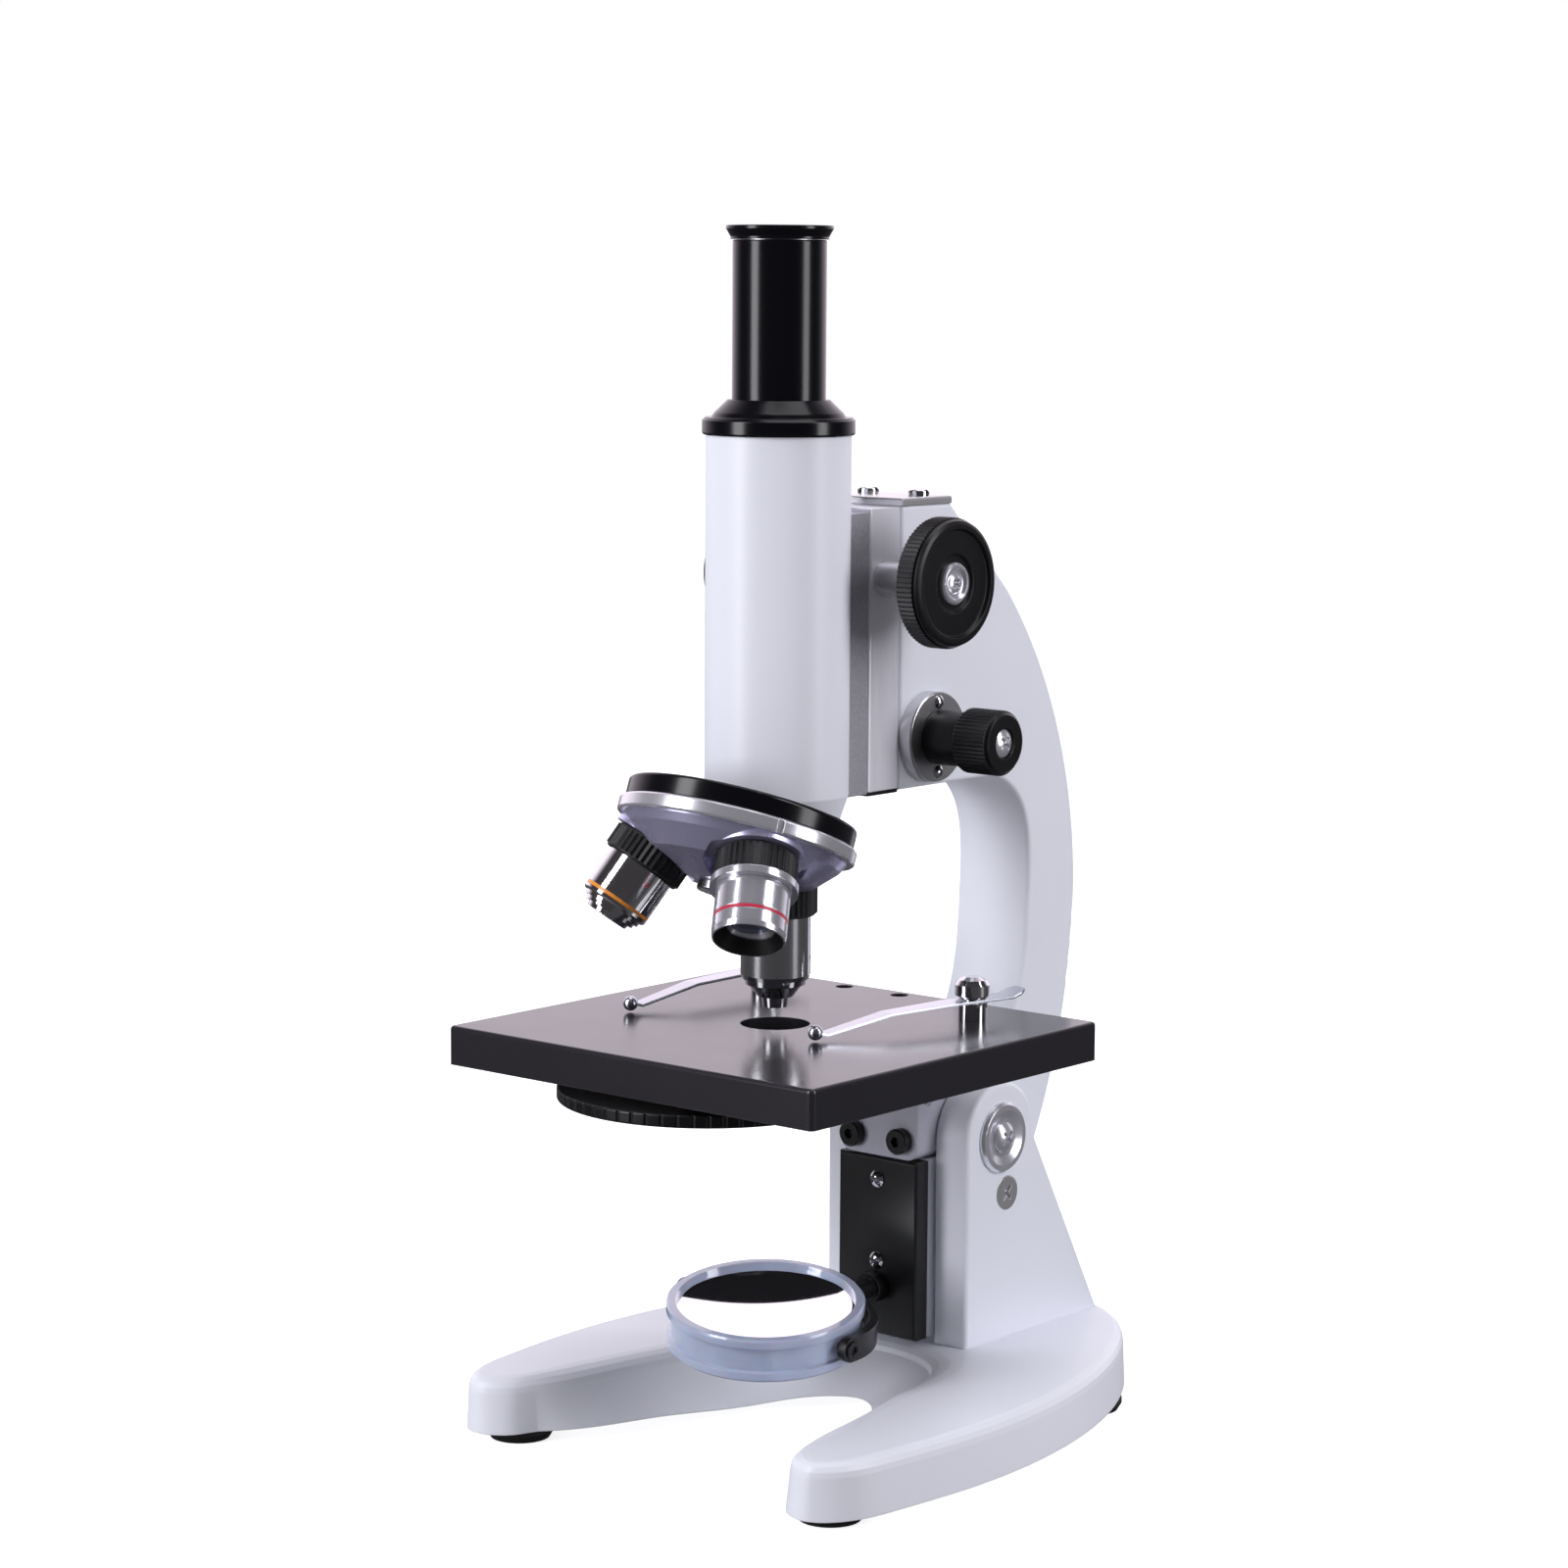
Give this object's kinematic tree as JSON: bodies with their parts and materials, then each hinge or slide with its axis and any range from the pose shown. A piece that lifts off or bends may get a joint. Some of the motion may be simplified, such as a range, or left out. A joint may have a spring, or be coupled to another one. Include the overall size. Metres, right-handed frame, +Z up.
{
  "type": "microscope",
  "caption": "Student microscope with a horseshoe base, inclining arm, racked body tube, revolving nosepiece, stage with clips, disc diaphragm and mirror.",
  "frame": {"origin": "on the table, under the middle of the whole instrument's outline", "axes": "+Z up along the body tube, +Y to the arm, +X to the right of someone facing the stage front"},
  "size_m": [0.1506, 0.197, 0.3355],
  "materials": {
    "enamel": "gloss enamel on a casting",
    "bracket_enamel": "satin light grey enamel",
    "stage_black": "satin black paint",
    "tube_black": "gloss black enamel",
    "knob_black": "matte black moulded plastic",
    "rubber_black": "matt rubber",
    "chrome": "polished chrome plate",
    "steel": "turned steel",
    "black_steel": "blackened steel",
    "aluminium": "fine-ground aluminium",
    "bowl_satin": "satin anodised",
    "band_orange": "painted band",
    "band_red": "painted band",
    "glass": "polished glass",
    "mirror": "silvered glass",
    "clear_plastic": "translucent bluish plastic"
  },
  "bodies": {
    "base": {"base_casting": "enamel", "rubber_feet": "rubber_black", "pivot_pin": "steel", "pivot_washers": "chrome", "pivot_screws": "chrome", "stop_screws": "chrome"},
    "arm": {"arm_casting": "enamel", "head_cover": "aluminium", "cover_screws": "chrome", "fine_rail": "steel", "fine_flange": "aluminium", "fine_flange_screws": "chrome", "stage_bracket": "bracket_enamel", "bracket_screws": "black_steel", "bracket_side_screws": "chrome", "mirror_plate": "stage_black", "plate_screws": "chrome", "stage_plate": "stage_black", "diaphragm_screw": "steel", "clip_studs": "chrome"},
    "focus_block": {"focus_block": "aluminium", "block_end_plate": "black_steel", "pinion_bushes": "steel"},
    "coarse_drive": {"pinion_shaft": "steel", "coarse_knob_left": "knob_black", "coarse_knob_right": "knob_black", "coarse_knob_screws": "chrome"},
    "fine_drive": {"fine_shaft": "steel", "fine_knob": "knob_black", "fine_knob_screw": "chrome"},
    "tube": {"tube_slide": "black_steel", "body_tube": "enamel", "tube_collar": "tube_black", "draw_tube": "tube_black", "nosepiece_base": "stage_black", "turret_axle": "chrome"},
    "eyepiece": {"eye_cap": "tube_black", "eyepiece_barrel": "aluminium", "eye_lens": "glass", "field_lens": "glass"},
    "nosepiece": {"turret_rim": "chrome", "turret_bowl": "bowl_satin", "objective_40x_barrel": "chrome", "objective_40x_grip": "knob_black", "objective_40x_lens": "glass", "objective_10x_barrel": "chrome", "objective_10x_grip": "knob_black", "objective_10x_band": "band_orange", "objective_10x_lens": "glass", "objective_4x_barrel": "chrome", "objective_4x_grip": "knob_black", "objective_4x_band": "band_red", "objective_4x_lens": "glass"},
    "clip_right": {"clip_right": "steel"},
    "clip_left": {"clip_left": "steel"},
    "diaphragm": {"diaphragm_disc": "stage_black"},
    "mirror_fork": {"mirror_fork": "stage_black"},
    "mirror": {"mirror_ring": "clear_plastic", "mirror_flat": "mirror", "mirror_concave": "mirror"}
  },
  "joints": [
    {"name": "inclination", "type": "hinge", "parent": "base", "child": "arm", "pos_m": [0, 0.0409, 0.0782], "axis": [-1, 0, 0], "range_deg": [0, 60]},
    {"name": "fine_slide", "type": "slide", "parent": "arm", "child": "focus_block", "axis": [0, 0, 1], "range_m": [-0.001, 0.001]},
    {"name": "fine_spin", "type": "hinge", "parent": "arm", "child": "fine_drive", "pos_m": [0.02, 0.0205, 0.1945], "axis": [1, 0, 0], "range_deg": [-720, 720]},
    {"name": "coarse_slide", "type": "slide", "parent": "focus_block", "child": "tube", "axis": [0, 0, 1], "range_m": [-0.004, 0.04]},
    {"name": "coarse_spin", "type": "hinge", "parent": "focus_block", "child": "coarse_drive", "pos_m": [0, 0.0005, 0.2397], "axis": [-1, 0, 0], "range_deg": [-58, 574]},
    {"name": "eyepiece_lift", "type": "slide", "parent": "tube", "child": "eyepiece", "axis": [0, 0, 1], "range_m": [0, 0.03]},
    {"name": "nosepiece_turn", "type": "hinge", "parent": "tube", "child": "nosepiece", "pos_m": [0, -0.046, 0.173], "axis": [0, -0.3584, -0.9336], "continuous": true},
    {"name": "clip_right_swing", "type": "hinge", "parent": "arm", "child": "clip_right", "pos_m": [0.0376, 0.0105, 0.12], "axis": [0, 0, -1], "range_deg": [-60, 20]},
    {"name": "clip_left_swing", "type": "hinge", "parent": "arm", "child": "clip_left", "pos_m": [-0.0376, 0.0105, 0.12], "axis": [0, 0, 1], "range_deg": [-60, 35]},
    {"name": "diaphragm_turn", "type": "hinge", "parent": "arm", "child": "diaphragm", "pos_m": [0, -0.058, 0.104], "axis": [0, 0, 1], "continuous": true},
    {"name": "fork_roll", "type": "hinge", "parent": "arm", "child": "mirror_fork", "pos_m": [0, 0.0185, 0.0352], "axis": [0, 1, 0], "range_deg": [-80, 80]},
    {"name": "mirror_tilt", "type": "hinge", "parent": "mirror_fork", "child": "mirror", "pos_m": [0, -0.0327, 0.0352], "axis": [0.9947, 0, -0.1028], "continuous": true}
  ],
  "couplings": [
    {"joint": "coarse_spin", "follows": "coarse_slide", "rad_per_m": 250},
    {"joint": "fine_spin", "follows": "fine_slide", "rad_per_m": 12566}
  ]
}
